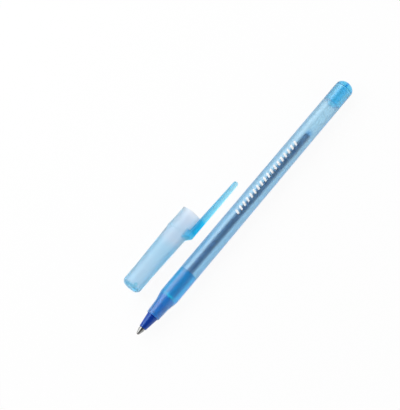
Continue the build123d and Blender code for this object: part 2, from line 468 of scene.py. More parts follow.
def blend(tree, share, first, second):
    """Colour that goes from the first to the second with the share."""
    mix = add_node(tree, "Mix", share, data_type="RGBA")
    # The sockets for colours come after those for values and vectors
    feed(tree, mix.inputs[6], first)
    feed(tree, mix.inputs[7], second)
    return mix.outputs[2]


def object_place(tree):
    """Place of the shaded point."""
    return tree.nodes.new("ShaderNodeTexCoord").outputs["Object"]


def along_x(tree):
    """Station of the shaded point on X."""
    return add_node(tree, "SeparateXYZ", object_place(tree)).outputs["X"]


def behind_station(tree, station):
    """Mask that is 0 in front of the station on X and 1 behind it, with a short blend."""
    return ranged(tree, along_x(tree), station - BLEND, station + BLEND)


def ramp_along(tree, stops):
    """Colour that blends along X through the stops, which are stations in order with their colours."""
    first, last = min(stops), max(stops)
    share = ranged(tree, along_x(tree), first, last, smooth=False)
    ramp = add_node(tree, "ValToRGB", share)
    elements = ramp.color_ramp.elements
    elements.remove(elements[1])
    elements[0].position = 0.0
    elements[0].color = (*stops[first], 1.0)
    for station, stop in list(stops.items())[1:]:
        elements.new((station - first) / (last - first)).color = (*stop, 1.0)
    return ramp.outputs["Color"]


def noise(tree, place, scale, detail, roughness):
    """Value of a cloudy noise at the place."""
    node = add_node(tree, "TexNoise", Vector=place, Scale=scale, Detail=detail, Roughness=roughness)
    return node.outputs[0]


def moulded_finish():
    """Group for moulded plastic: mottled colour and uneven gloss, drawn out along X, and a fine grain."""
    tree = bpy.data.node_groups.new("moulded_finish", "ShaderNodeTree")
    numbers = {label: "Float" for label in ("Mottle", "Roughness", "Unevenness", "Grain")}
    sockets = {
        "INPUT": {"Colour": "Color", **numbers},
        "OUTPUT": {"Colour": "Color", "Roughness": "Float", "Normal": "Vector"},
    }
    for way, kinds in sockets.items():
        for label, kind in kinds.items():
            tree.interface.new_socket(label, in_out=way, socket_type="NodeSocket" + kind)
    given = tree.nodes.new("NodeGroupInput").outputs
    place = object_place(tree)
    flow_stretch = (0.12, 1, 1)
    flow = add_node(tree, "Mapping", Vector=place, Scale=flow_stretch).outputs["Vector"]
    clouds = value_math(tree, "SUBTRACT", noise(tree, flow, scale=420.0, detail=3.0, roughness=0.55), 0.5)
    swing = value_math(tree, "MULTIPLY_ADD", clouds, given["Mottle"], 1.0)
    gloss = value_math(tree, "MULTIPLY_ADD", clouds, given["Unevenness"], given["Roughness"])
    tone = add_node(tree, "VectorMath", given["Colour"], operation="SCALE", Scale=swing).outputs["Vector"]
    grain = noise(tree, place, scale=3200.0, detail=2.0, roughness=0.6)
    bump = add_node(tree, "Bump", Strength=given["Grain"], Distance=0.05 * MM, Height=grain).outputs["Normal"]
    result = tree.nodes.new("NodeGroupOutput").inputs
    for label, value in (("Colour", tone), ("Roughness", gloss), ("Normal", bump)):
        feed(tree, result[label], value)
    return tree


def new_material(name):
    """A node material and its tree."""
    material = bpy.data.materials.new(name)
    material.use_nodes = True
    return material, material.node_tree


def plastic(name, shade, mottle, unevenness, grain, roughness=0.5, transmission=0.0):
    """Moulded plastic whose colour, gloss and grain come from the shared finish.

    Returns the material, its tree and the finish's inputs, which may be fed a changing colour or roughness.
    """
    material, tree = new_material(name)
    finish = tree.nodes.new("ShaderNodeGroup")
    finish.node_tree = bpy.data.node_groups.get("moulded_finish") or moulded_finish()
    values = {
        "Colour": shade, "Mottle": mottle, "Roughness": roughness, "Unevenness": unevenness, "Grain": grain,
    }
    for label, value in values.items():
        feed(tree, finish.inputs[label], value)
    dress(tree, Base_Color=finish.outputs["Colour"], Roughness=finish.outputs["Roughness"],
          Normal=finish.outputs["Normal"], Transmission_Weight=transmission, IOR=PLASTIC_IOR)
    return material, tree, finish.inputs


def add_tint(tree, tint, density):
    """Light takes on the tint inside the plastic: absorption is the density times one minus the colour."""
    volume = add_node(tree, "VolumeAbsorption", Color=tint, Density=density).outputs["Volume"]
    feed(tree, tree.nodes["Material Output"].inputs["Volume"], volume)


def barrel_material(colours, azure_end):
    """Frosted plastic, azure in front of the given station, and paler towards the rear behind it.

    Its roughness follows the mesh's frost, and its gloss is stronger on the azure front.
    """
    material, tree, finish = plastic(
        "frosted_barrel", colours.barrel, mottle=0.14, unevenness=0.12, grain=0.10, transmission=1.0
    )
    share = ranged(tree, along_x(tree), azure_end, plug_low.x, smooth=False)
    thin = blend(tree, share, colours.barrel_front, colours.barrel)
    rear = behind_station(tree, azure_end)
    feed(tree, finish["Colour"], blend(tree, rear, colours.azure, thin))
    frost = add_node(tree, "Attribute", attribute_name="frost").outputs["Fac"]
    feed(tree, finish["Roughness"], ranged(tree, frost, 0, 1, CLEAR, FROSTED, smooth=False))
    front_coat, rear_coat = 1.0, 0.6
    coat = ranged(tree, rear, 0, 1, front_coat, rear_coat, smooth=False)
    dress(tree, Coat_Weight=coat, Coat_Roughness=0.36)
    add_tint(tree, colours.barrel_tint, BARREL_DENSITY)
    return material


def guide_material(colours, nose_rear, shoulder_end):
    """Cloudy plastic on the bore of the nose and the guide, which hides what is behind the thick wall.

    Its colour goes from nose to shoulder to guide, with a pale painted highlight where the shoulder ends.
    """
    material, tree, finish = plastic(
        "cloudy_guide", colours.guide, mottle=0.12, unevenness=0.1, grain=0.1, transmission=0.12
    )
    # The pale stops at the shoulder's end are the painted highlight of its rear edge
    stops = {
        nose_rear - BLEND: colours.nose, nose_rear + BLEND: colours.shoulder,
        shoulder_end - 2 * BLEND: colours.shoulder, shoulder_end - BLEND: colours.painted_ledge_highlight,
        shoulder_end + BLEND: colours.painted_ledge_highlight, shoulder_end + 3 * BLEND: colours.guide,
    }
    feed(tree, finish["Colour"], ramp_along(tree, stops))
    return material


def cap_material(colours, sizes):
    """Satin plastic of the cap, with the clip's colours where the distance from the axis passes the ring's.

    The clip is deepest beside the collar and pales towards its tip, where the blade is thin; beside the
    collar the depth is partly painted shade, for light that also crosses the collar behind the clip. A small
    round mark, by the distance from its middle, is left by the mould's gate. The coat's gloss leaves out the
    clip.
    """
    material, tree, finish = plastic(
        "cap_plastic", colours.cap, mottle=0.10, unevenness=0.12, grain=0.10, transmission=1.0
    )
    place = object_place(tree)
    centred = vector_math(tree, "SUBTRACT", place, (0, *cap_axis))
    flat = vector_math(tree, "MULTIPLY", centred, (0, 1, 1))
    radius = vector_math(tree, "LENGTH", flat, result="Value")
    raised = ranged(tree, radius, sizes.ring_radius, sizes.clip_inner)
    clip_start = cap_mouth - sizes.collar_length - sizes.clip_setback
    # Beside the collar the clip's colour is partly painted shade of the collar behind it
    stops = {
        clip_start: colours.clip_root, clip_start + sizes.clip_root: colours.clip,
        cap_mouth - MOUTH_BLEND: colours.clip, cap_mouth + MOUTH_BLEND: colours.clip_blade,
        cap_high.x: colours.clip_tip,
    }
    shade = blend(tree, raised, colours.cap, ramp_along(tree, stops))
    gate_turn = np.pi / 2 + sizes.gate_lean
    gate = (cap_low.x + sizes.gate_setback, cap_axis[0] + sizes.end_radius * np.cos(gate_turn),
            cap_axis[1] + sizes.end_radius * np.sin(gate_turn))
    from_gate = vector_math(tree, "DISTANCE", place, gate, result="Value")
    beyond = ranged(tree, from_gate, sizes.gate_radius / 2, sizes.gate_radius * 3 / 2)
    feed(tree, finish["Colour"], blend(tree, beyond, colours.gate, shade))
    body_roughness, clip_roughness = 0.50, 0.55
    gloss = ranged(tree, raised, 0, 1, body_roughness, clip_roughness, smooth=False)
    feed(tree, finish["Roughness"], gloss)
    bare = value_math(tree, "SUBTRACT", 1.0, raised)
    dress(tree, Coat_Weight=bare, Coat_Roughness=0.55, Coat_IOR=1.6)
    add_tint(tree, colours.cap_tint, CAP_DENSITY)
    return material


def plug_material(colours):
    """Translucent azure plastic of the end plug, with the dome's own colour outside the barrel."""
    material, tree, finish = plastic(
        "blue_plug", colours.plug, mottle=0.12, unevenness=0.10, grain=0.05, roughness=0.10, transmission=1.0
    )
    feed(tree, finish["Colour"], blend(tree, behind_station(tree, barrel_high.x), colours.plug, colours.dome))
    return material


def holder_material(colours):
    """Glossy dark blue plastic with tinted highlights."""
    material, tree, _ = plastic(
        "navy_holder", colours.holder, mottle=0.25, unevenness=0.08, grain=0.04, roughness=0.13
    )
    dress(tree, Specular_IOR_Level=0.9, Specular_Tint=colours.holder_shine)
    return material


def tube_material(colours):
    """Milky extruded tube, with a film of ink that thins out behind the column's end."""
    material, tree, finish = plastic(
        "tube_plastic", colours.tube, mottle=0.06, unevenness=0.08, grain=0.03, roughness=0.12,
        transmission=1.0,
    )
    end = ink_high.x
    stops = {end - SMEAR_START: colours.tube, end: colours.smear, end + SMEAR_LENGTH: colours.tube}
    feed(tree, finish["Colour"], ramp_along(tree, stops))
    return material


def point_material(colours):
    """Turned metal with fine grooves round the point: bands of noise along X alone, darker in the grooves."""
    material, tree = new_material("point_metal")
    band_stretch = (1, 0.02, 0.02)
    bands = add_node(tree, "Mapping", Vector=object_place(tree), Scale=band_stretch).outputs["Vector"]
    grooves = noise(tree, bands, scale=14000.0, detail=3.0, roughness=0.6)
    bump = add_node(tree, "Bump", Strength=0.25, Distance=0.01 * MM, Height=grooves).outputs["Normal"]
    # Painted shade: the grooves' colour is darkened where the bump sinks
    least_rough, most_rough, groove_painted_shade = 0.14, 0.34, 0.85
    gloss = ranged(tree, grooves, 0, 1, least_rough, most_rough, smooth=False)
    dark = [groove_painted_shade * value for value in colours.point]
    tone = blend(tree, grooves, dark, colours.point)
    dress(tree, Base_Color=tone, Roughness=gloss, Normal=bump, Metallic=1.0)
    return material


def ball_material(colours):
    """Ground ball with a thin uneven film of ink."""
    material, tree, _ = plastic(
        "ball_metal", colours.ball, mottle=0.8, unevenness=0.2, grain=0.05, roughness=0.22
    )
    dress(tree, Metallic=0.8)
    return material


def front_stations(sizes):
    """Ends of the nose, the shoulder and the guide: the barrel's front plus their lengths one by one."""
    return np.cumsum([barrel_low.x, sizes.nose_length, sizes.shoulder_length, sizes.guide_length])[1:]


def make_barrel(sizes, colours):
    """Barrel: nose, conical shoulder and tapering tube outside, and a bore in three steps inside.

    One closed outline of stations and radii, with eased corners, is turned about X into rings. The bore is
    frosted a little less than the outside, and clear where the plug is pressed against it.
    """
    front, rear, spigot_end = barrel_low.x, barrel_high.x, holder_high.x
    nose_rear, shoulder_end, guide_end = front_stations(sizes)
    edge, ease = sizes.edge, sizes.shoulder_ease
    outline = eased(
        [(front, sizes.nose_front_radius), (nose_rear, sizes.nose_rear_radius), (shoulder_end, barrel_radius),
         (taper_end, rear_radius), (rear, rear_radius), (rear, sizes.barrel_bore),
         (guide_end, sizes.barrel_bore), (guide_end, sizes.guide_bore), (spigot_end, sizes.guide_bore),
         (spigot_end, sizes.nose_bore), (front, sizes.nose_bore)],
        [sizes.nose_edge, ease, ease, 0, edge, edge, edge, edge, 0, edge, edge],
    )
    outline = spaced(outline, sizes.ring_spacing)
    points, faces = turned_ring(outline, pen_axis, SIDES)
    station, radius = outline.T
    in_guide = (radius < sizes.nose_bore + edge / 2) & (station < guide_end)
    finish = np.repeat(in_guide & np.roll(in_guide, -1), SIDES).astype(np.int32)
    outside = np.arange(len(outline)) <= np.argmax(station)
    bore = np.where(station > plug_low.x, 0.0, BORE_FROST)
    frost = np.repeat(np.where(outside, 1.0, bore), SIDES).astype(np.float32)
    materials = [barrel_material(colours, guide_end), guide_material(colours, nose_rear, shoulder_end)]
    add_piece("barrel_shell", points, faces, materials, "pen", "barrel", finish, frost)


def make_end_plug(sizes, colours):
    """End plug: an elliptical dome on a hollow shank, with a vent through the crown, turned about X.

    The dome's station is its base plus its height times the sine of a turn, and its radius is the rear radius
    times the cosine, up to the turn at which that is the vent's radius.
    """
    front, base = plug_low.x, barrel_high.x + sizes.seam
    vent_share = sizes.plug_vent / rear_radius
    height = (plug_high.x - base) / np.sqrt(1 - vent_share ** 2)
    first_turn, dome_steps = np.radians(5), 24
    turn = np.linspace(first_turn, np.arccos(vent_share), dome_steps)
    dome = np.stack([base + height * np.sin(turn), rear_radius * np.cos(turn)], -1)
    hollow = sizes.plug_radius - sizes.plug_wall
    before = [(front, sizes.plug_radius), (base, sizes.plug_radius), (base, rear_radius)]
    after = [(base, sizes.plug_vent), (base, hollow), (front, hollow)]
    edge = sizes.edge
    rounds = [edge, 0, edge] + [0] * len(dome) + [0, 3 * edge, edge]
    outline = eased(np.concatenate([before, dome, after]), rounds)
    points, faces = turned_ring(spaced(outline, sizes.ring_spacing / 2), pen_axis, SIDES)
    add_piece("plug_body", points, faces, [plug_material(colours)], "pen", "end_plug")


def make_tip_holder(sizes, colours):
    """Tip holder: a glossy cone in front of the nose and a spigot inside it, with a stepped hole.

    One closed outline with eased corners is turned about X.
    """
    front, rear = holder_low.x, holder_high.x
    base = barrel_low.x - sizes.seam
    tube_hole = tube_radius + sizes.fit_gap
    point_hole = sizes.shank_radius + sizes.fit_gap
    edge = sizes.edge
    outline = eased(
        [(front, sizes.cone_front_radius), (base, holder_radius), (base, sizes.spigot_radius),
         (rear, sizes.spigot_radius), (rear, tube_hole), (tube_low.x, tube_hole),
         (tube_low.x, sizes.holder_channel), (socket_high.x, sizes.holder_channel),
         (socket_high.x, point_hole), (front, point_hole)],
        [2 * edge, edge, 0, 3 * edge, edge, 0, 0, 0, 0, edge],
    )
    points, faces = turned_ring(spaced(outline, sizes.ring_spacing / 2), pen_axis, SIDES)
    add_piece("holder_cone", points, faces, [holder_material(colours)], "pen", "tip_holder")


def make_point_socket(sizes, colours):
    """Metal point: a rim rolled over the ball, a taper, a body and a shank, with the ball's seat inside.

    The outline is turned about X. Its seat is an arc about the ball's middle, from the channel to the rim.
    """
    front, rear = socket_low.x, socket_high.x
    shoulder = holder_low.x - sizes.seam
    seat = ball_radius + sizes.fit_gap
    rim_radius = ball_radius + sizes.rim_wall
    seat_steps = 16
    first_turn = np.arcsin(sizes.point_channel / seat)
    last_turn = np.arccos((front - ball_middle) / seat)
    swing = np.linspace(first_turn, last_turn, seat_steps)
    bowl = np.stack([ball_middle + seat * np.cos(swing), seat * np.sin(swing)], -1)
    before = [(front, rim_radius), (front + sizes.point_rim, rim_radius + sizes.rim_wall),
              (front + sizes.point_taper, socket_radius), (shoulder, socket_radius),
              (shoulder, sizes.shank_radius), (rear, sizes.shank_radius), (rear, sizes.point_channel)]
    edge = sizes.edge
    rounds = [edge / 2, edge, 3 * edge, edge, 0, edge, 0] + [0] * len(bowl)
    outline = eased(np.concatenate([before, bowl]), rounds)
    points, faces = turned_ring(spaced(outline, sizes.ring_spacing / 4), pen_axis, SIDES)
    material = point_material(colours)
    add_piece("point_metal_body", points, faces, [material], "pen", "point_socket")


def make_writing_ball(colours):
    """Writing ball: a half circle turned about X.

    The station is the middle minus the radius times the cosine, and the distance from the axis is the radius
    times the sine.
    """
    half_circle_points = 33
    turn = np.linspace(0, np.pi, half_circle_points)
    outline = np.stack([ball_middle - ball_radius * np.cos(turn), ball_radius * np.sin(turn)], -1)
    points, faces = turned_solid(outline, pen_axis, SMALL_SIDES)
    add_piece("ball_sphere", points, faces, [ball_material(colours)], "ball", "writing_ball")


def leaned(points, sizes):
    """Points of the ink tube or its ink, moved to -Y where the tube is free behind the guide.

    The move is the lean times the share of the free length, to a power that makes the tube bend a little.
    """
    bend = 1.2
    guide_end = front_stations(sizes)[-1]
    share = np.clip((points[..., 0] - guide_end) / (tube_high.x - guide_end), 0, 1)
    moved = points.copy()
    moved[..., 1] -= sizes.tube_lean * share ** bend
    return moved


def make_ink_tube(sizes, colours):
    """Ink tube: a thin tube with eased ends, turned about X and then leaned behind the guide."""
    front, rear = tube_low.x + sizes.seam, tube_high.x
    inside = tube_radius - sizes.tube_wall
    corners = [(front, tube_radius), (rear, tube_radius), (rear, inside), (front, inside)]
    outline = eased(corners, [sizes.edge] * len(corners))
    points, faces = turned_ring(spaced(outline, sizes.ring_spacing), pen_axis, SMALL_SIDES)
    material = tube_material(colours)
    add_piece("tube_wall", leaned(points, sizes), faces, [material], "pen", "ink_tube")


def make_ink(sizes, colours):
    """Ink: a column that steps up in the point, the holder and the tube, with a hollow rear end.

    The rear end is a paraboloid: its depth is the meniscus times one minus the square of the radius share.
    """
    in_tube = tube_radius - sizes.tube_wall + sizes.wetting
    in_holder = sizes.holder_channel - sizes.fit_gap
    in_point = sizes.point_channel - sizes.fit_gap
    tube_front = tube_low.x + sizes.seam
    meniscus_points = 12
    share = np.linspace(1, 0, meniscus_points)
    rear = np.stack([ink_high.x - sizes.meniscus * (1 - share ** 2), in_tube * share], -1)
    front = [(ink_low.x, 0), (ink_low.x, in_point), (socket_high.x, in_point), (socket_high.x, in_holder),
             (tube_front, in_holder), (tube_front, in_tube)]
    outline = spaced(np.concatenate([front, rear]), sizes.ring_spacing, closed=False)
    points, faces = turned_solid(outline, pen_axis, SMALL_SIDES)
    material, _, _ = plastic("blue_ink", colours.ink, mottle=0.5, unevenness=0.05, grain=0.02, roughness=0.12)
    add_piece("ink_column", leaned(points, sizes), faces, [material], "pen", "ink")


def make_print(sizes, shape, colours):
    """Row of slanted ticks in white ink, as thin slabs that follow the barrel's taper.

    A tick's rim is the curve on which the fifth powers of the two coordinates add up to one, scaled to the
    tick's width and height and leaned by its slant. The other rings are shares of the rim, over the slab's
    top and back under it.
    """
    # Ring by ring, from the top's middle to the underside's: share of the rim, and lift in layers
    shares = np.array([0.02, 0.4, 0.8, 1.0, 1.0, 0.5, 0.02])[:, None]
    lifts = np.array([1.0, 1.0, 1.0, 0.8, -0.5, -0.5, -0.5])[:, None] * sizes.layer
    tick_sides, squareness = 28, 2 / 5
    around = full_turn(tick_sides)
    waves = np.stack([np.cos(around), np.sin(around)])
    rim_along, rim_across = np.sign(waves) * np.abs(waves) ** squareness
    first = barrel_low.x + sizes.setback
    middles = first + sizes.pitch * np.arange(sizes.count)[:, None, None]
    station = middles + shares * (rim_along * sizes.width + rim_across * sizes.slant) / 2
    arc = np.broadcast_to(shares * rim_across * sizes.height / 2, station.shape)
    shoulder_end = front_stations(shape)[1]
    surface = np.interp(station, [shoulder_end, taper_end], [barrel_radius, rear_radius])
    radius = surface + lifts
    turn = np.pi / 2 - sizes.turn - arc / surface
    points = np.stack([station, pen_axis[0] + radius * np.cos(turn), pen_axis[1] + radius * np.sin(turn)], -1)
    rings, columns = len(shares), len(around)
    start = np.arange(sizes.count)[:, None, None] * rings * columns
    sides = (grid_faces(rings, columns, False)[:, ::-1] + start).reshape(-1, 4)
    top = (np.arange(columns) + start[:, 0]).reshape(-1, columns)
    bottom = (np.arange(columns)[::-1] + (rings - 1) * columns + start[:, 0]).reshape(-1, columns)
    material, _, _ = plastic(
        "white_print", colours.ticks, mottle=0.08, unevenness=0.15, grain=0.1, roughness=0.45
    )
    add_piece("print_ticks", points, [sides, top, bottom], [material], "pen")


def square_to_round(across, up, round_across, round_up):
    """Points on the border of a square from -1 to 1, moved onto the same square with elliptical corners.

    Within a corner's radius, the place along the border becomes an angle from the corner's diagonal.
    """
    from_side = np.clip((1 - np.abs(across)) / round_across, 0, 1)
    from_top = np.clip((1 - np.abs(up)) / round_up, 0, 1)
    turn = np.pi / 4 * (1 + from_side - from_top)
    corner = (from_side < 1) & (from_top < 1)
    corner_across = np.sign(across) * (1 - round_across * (1 - np.cos(turn)))
    corner_up = np.sign(up) * (1 - round_up * (1 - np.sin(turn)))
    return np.where(corner, corner_across, across), np.where(corner, corner_up, up)


def followed(corners, rounds, count):
    """Points at equal steps along an eased open line."""
    arc_steps, finest = 8, 0.02 * MM
    path = spaced(eased(corners, rounds, arc_steps), finest, closed=False)
    run = np.concatenate([[0], np.cumsum(np.linalg.norm(np.diff(path, axis=0), axis=1))])
    at = np.linspace(0, run[-1], count)
    return np.stack([np.interp(at, run, path[:, 0]), np.interp(at, run, path[:, 1])], -1)


def clip_sections(sizes, rim, share):
    """Points of the clip as rings from the hole in the cap to the tip, and the tip's own point.

    rim holds the hole's points as station, height and side offset, share the place of each on a square from
    -1 to 1: across the clip, and from its inner to its outer face. A ring lies between one point of the outer
    line and one of the inner line, both followed from the cap over the root and along the blade, and its
    corners are eased. Near the cap it blends into the hole's rim, and at the tip it shrinks to a point.
    """
    start = cap_mouth - sizes.collar_length - cap_low.x - sizes.clip_setback
    tip = cap_high.x - cap_low.x
    root_end = start + sizes.clip_root
    ramp_end = start + sizes.clip_ramp
    blade_start = root_end + 2 * sizes.clip_edge
    blade_end = tip - sizes.clip_round

    def outer_line(station):
        """Distance of the blade's outside from the axis."""
        return np.interp(station, [ramp_end, tip], [sizes.clip_outer, sizes.clip_tip_outer])

    def inner_line(station):
        """Distance of the blade's inside from the axis."""
        return np.interp(station, [root_end, tip], [sizes.clip_inner, sizes.clip_tip_inner])

    # Rings of the root, the blade and the tip, and those over which the root leaves the rim
    root_rings, blade_rings, end_rings, blend_rings = 40, 64, 16, 7
    # Corner rounds as shares of half the width and height, and the powers by which the tip shrinks
    round_across, round_up = 0.18, 0.42
    thinning, narrowing = 0.4, 0.85
    waist = np.hypot(rim[:, 1], rim[:, 2]).mean()
    rounds = [0, sizes.clip_edge, 0]
    outer_corners = [(start, waist), (ramp_end, sizes.clip_outer), (blade_start, outer_line(blade_start))]
    inner_corners = [(root_end, waist), (root_end, sizes.clip_inner), (blade_start, inner_line(blade_start))]
    blade = np.linspace(blade_start, blade_end, blade_rings)[1:]
    end_turn = np.linspace(0, np.pi / 2, end_rings)[1:-1]
    run = np.concatenate([blade, blade_end + sizes.clip_round * np.sin(end_turn)])
    outer, inner = (
        np.concatenate([followed(corners, rounds, root_rings), np.stack([run, line(run)], -1)])[:, None]
        for corners, line in ((outer_corners, outer_line), (inner_corners, inner_line))
    )
    shrink = np.concatenate([np.ones(root_rings + len(blade)), np.cos(end_turn)])[:, None]

    across, up = square_to_round(share[None, :, 0], share[None, :, 1], round_across, round_up)
    height_share = (1 + up * shrink ** thinning) / 2
    spine = inner + (outer - inner) * height_share[..., None]
    width = np.interp(spine[..., 0], [start, tip], [sizes.clip_root_width, sizes.clip_tip_width])
    side = across * width / 2 * shrink ** narrowing
    rings = np.concatenate([spine, side[..., None]], -1)
    lift = np.clip(np.arange(len(rings)) / blend_rings, 0, 1)[:, None, None]
    rings = rim[None] * (1 - lift) + rings * lift
    tip_point = np.array([tip, (outer_line(tip) + inner_line(tip)) / 2, 0])
    return rings[1:], tip_point


def cap_outline(sizes):
    """Outline of the cap's shell from its closed end, with closer rings between the ends of the clip's hole.

    Returns the outline, the stations of the hole's ends and the numbers of their rings.
    """
    body_length = cap_mouth - cap_low.x
    ring_middle = body_length - sizes.collar_length
    ring_front = ring_middle - sizes.ring_length / 2
    ring_rear = ring_middle + sizes.ring_length / 2
    hole_front = ring_middle - sizes.clip_setback - sizes.clip_fillet
    hole_rear = ring_middle - sizes.clip_setback + sizes.clip_root + sizes.clip_fillet
    flare_end = ring_rear + sizes.flare_length
    seat_rear = body_length - bore_length
    seat_front = seat_rear - sizes.seat_length
    front_slope = np.interp(hole_front, [sizes.straight, ring_front], [sizes.end_radius, sizes.waist_radius])
    rear_slope = np.interp(hole_rear, [ring_rear, flare_end], [sizes.collar_root_radius, sizes.collar_radius])
    edge = sizes.edge
    corners = np.array([
        (0, sizes.vent, edge), (0, sizes.end_radius, sizes.end_edge), (sizes.straight, sizes.end_radius, 0),
        (hole_front, front_slope, 0), (ring_front, sizes.waist_radius, edge),
        (ring_middle - sizes.ring_flat / 2, sizes.ring_radius, edge),
        (ring_middle + sizes.ring_flat / 2, sizes.ring_radius, edge),
        (ring_rear, sizes.collar_root_radius, edge), (hole_rear, rear_slope, 0),
        (flare_end, sizes.collar_radius, 0), (body_length, sizes.mouth_radius, edge),
        (body_length, bore_radius, edge), (seat_rear, bore_radius, 3 * edge),
        (seat_front, sizes.seat_radius, 3 * edge), (sizes.floor_wall, sizes.chamber_radius, 4 * edge),
        (sizes.floor_wall, sizes.vent, edge),
    ])
    whole = eased(corners[:, :2], corners[:, 2])

    def in_root(outline):
        """Mask of the outer points between the ends of the hole."""
        station, radius = outline.T
        within = (station > hole_front + STATION_MARGIN) & (station < hole_rear - STATION_MARGIN)
        return within & (radius > bore_radius + edge)

    fine, coarse = spaced(whole, sizes.root_spacing), spaced(whole, sizes.ring_spacing)
    root = fine[in_root(fine)]
    cut = np.flatnonzero(in_root(coarse))
    outline = np.concatenate([coarse[:cut[0]], root, coarse[cut[-1] + 1:]])
    return outline, (hole_front, hole_rear), (cut[0] - 1, cut[0] + len(root))


def make_cap(sizes, colours):
    """Cap: a turned shell with a raised ring and a vent, whose wall runs on into the clip.

    The shell leaves out a patch of faces under the clip, and the clip's first ring is that hole's border.
    """
    outline, (hole_front, hole_rear), (first, last) = cap_outline(sizes)
    half_turn = np.arcsin((sizes.clip_root_width / 2 + sizes.clip_fillet) / sizes.waist_radius)
    # Columns of the shell under the clip, and on the rest of the turn
    under_clip, elsewhere = 26, 102
    away = np.concatenate([np.linspace(-half_turn, half_turn, under_clip + 1),
                           np.linspace(half_turn, 2 * np.pi - half_turn, elsewhere + 1)[1:-1]])
    clip_turn = np.pi - sizes.clip_lift
    shell = turned(outline, cap_axis, clip_turn + away).reshape(-1, 3)
    shell[:, 0] += cap_low.x
    columns = len(away)
    faces = grid_faces(len(outline), columns, True)
    row, column = faces[:, 0] // columns, faces[:, 0] % columns
    faces = faces[~((row >= first) & (row < last) & (column < under_clip))]

    ahead, down = np.arange(under_clip), np.arange(first, last)
    loop_row = np.concatenate([0 * ahead + first, down, 0 * ahead + last, down[::-1] + 1])
    loop_column = np.concatenate([ahead, 0 * down + under_clip, under_clip - ahead, 0 * down])
    loop = loop_row * columns + loop_column
    loop_station, loop_radius = outline[loop_row].T
    loop_turn = away[loop_column]
    rim = np.stack([loop_station, loop_radius * np.cos(loop_turn), loop_radius * np.sin(loop_turn)], -1)
    outwards = 1 - 2 * (loop_station - hole_front) / (hole_rear - hole_front)
    share = np.stack([loop_turn / half_turn, outwards], -1)
    rings, tip = clip_sections(sizes, rim, share)
    station, height, side = np.concatenate([rings.reshape(-1, 3), tip[None]]).T
    clip = np.stack([cap_low.x + station,
                     cap_axis[0] + height * np.cos(clip_turn) - side * np.sin(clip_turn),
                     cap_axis[1] + height * np.sin(clip_turn) + side * np.cos(clip_turn)], -1)
    clip_index = len(shell) + np.arange(len(rings) * len(loop)).reshape(-1, len(loop))
    index = np.concatenate([loop[None], clip_index])
    beside = np.roll(index, -1, 1)
    sides = np.stack([index[:-1], beside[:-1], beside[1:], index[1:]], -1).reshape(-1, 4)
    tip_index = np.full(len(loop), len(shell) + len(clip) - 1)
    fan = np.stack([index[-1], beside[-1], tip_index], -1)
    corners = np.concatenate([faces.ravel(), sides.ravel(), fan.ravel()])
    used, compact = np.unique(corners, return_inverse=True)
    points = np.concatenate([shell, clip])[used]
    faces, sides, fan = np.split(compact, [faces.size, faces.size + sides.size])
    add_piece("cap_shell", points, [faces.reshape(-1, 4), sides.reshape(-1, 4), fan.reshape(-1, 3)],
              [cap_material(colours, sizes)], "cap", "cap")


def floor_material(stage):
    """Matt floor that takes the shadow, mixed with plain white for what the camera, gloss and glass see."""
    material, tree = new_material("floor")
    dress(tree, Base_Color=stage.floor, Roughness=0.9, Specular_IOR_Level=0.0)
    rays = tree.nodes.new("ShaderNodeLightPath").outputs
    seen = value_math(tree, "MAXIMUM", rays["Is Camera Ray"], rays["Is Glossy Ray"])
    shown = value_math(tree, "MAXIMUM", seen, rays["Is Transmission Ray"])
    amount = value_math(tree, "MULTIPLY", shown, stage.floor_glow)
    white = add_node(tree, "Emission", Strength=1.0).outputs[0]
    mix = add_node(tree, "MixShader", amount, tree.nodes["Principled BSDF"].outputs[0], white)
    feed(tree, tree.nodes["Material Output"].inputs["Surface"], mix.outputs[0])
    return material


def add_light(name, power, size, lean):
    """A rectangular soft light over the pen, leaning towards +Y and facing the origin."""
    data = bpy.data.lights.new(name, "AREA")
    data.energy = power
    data.shape = "RECTANGLE"
    data.size, data.size_y = size
    light = bpy.data.objects.new(name, data)
    light.matrix_world = Matrix.Rotation(-lean, 4, "X") @ Matrix.Translation((0, 0, LIGHT_DISTANCE))
    bpy.context.scene.collection.objects.link(light)
    return light


def add_surroundings(scene, stage):
    """White at the horizon and as dark as the sky's strength overhead, like a studio with a dark ceiling."""
    world = bpy.data.worlds.new("surroundings")
    world.use_nodes = True
    scene.world = world
    tree = world.node_tree
    direction = tree.nodes.new("ShaderNodeTexCoord").outputs["Generated"]
    height = add_node(tree, "SeparateXYZ", direction).outputs["Z"]
    glass = tree.nodes.new("ShaderNodeLightPath").outputs["Is Transmission Ray"]
    overhead = ranged(tree, glass, 0, 1, stage.sky, stage.glass_sky, smooth=False)
    background = tree.nodes["Background"].inputs
    feed(tree, background["Color"], (1.0, 1.0, 1.0))
    feed(tree, background["Strength"], ranged(tree, height, SKY_LOW, SKY_HIGH, 1.0, overhead))


def add_camera(scene, stage):
    """Camera at the stage's distance from its aim, with its axes turned by azimuth, elevation and roll."""
    level_turn = np.cos(stage.elevation)
    right = Vector((np.cos(stage.azimuth), np.sin(stage.azimuth), 0))
    back = Vector((np.sin(stage.azimuth) * level_turn, -np.cos(stage.azimuth) * level_turn,
                   np.sin(stage.elevation)))
    up = back.cross(right)
    rolled_right = right * np.cos(stage.roll) + up * np.sin(stage.roll)
    rolled_up = up * np.cos(stage.roll) - right * np.sin(stage.roll)
    camera = bpy.data.objects.new("camera", bpy.data.cameras.new("camera"))
    camera.data.lens = stage.lens
    camera.data.sensor_fit = "HORIZONTAL"
    camera.data.clip_start = 10 * MM
    aim = Vector((stage.aim_x, stage.aim_y, 0))
    turn = Matrix((rolled_right, rolled_up, back)).transposed().to_4x4()
    camera.matrix_world = Matrix.Translation(aim + back * stage.distance) @ turn
    scene.collection.objects.link(camera)
    scene.camera = camera


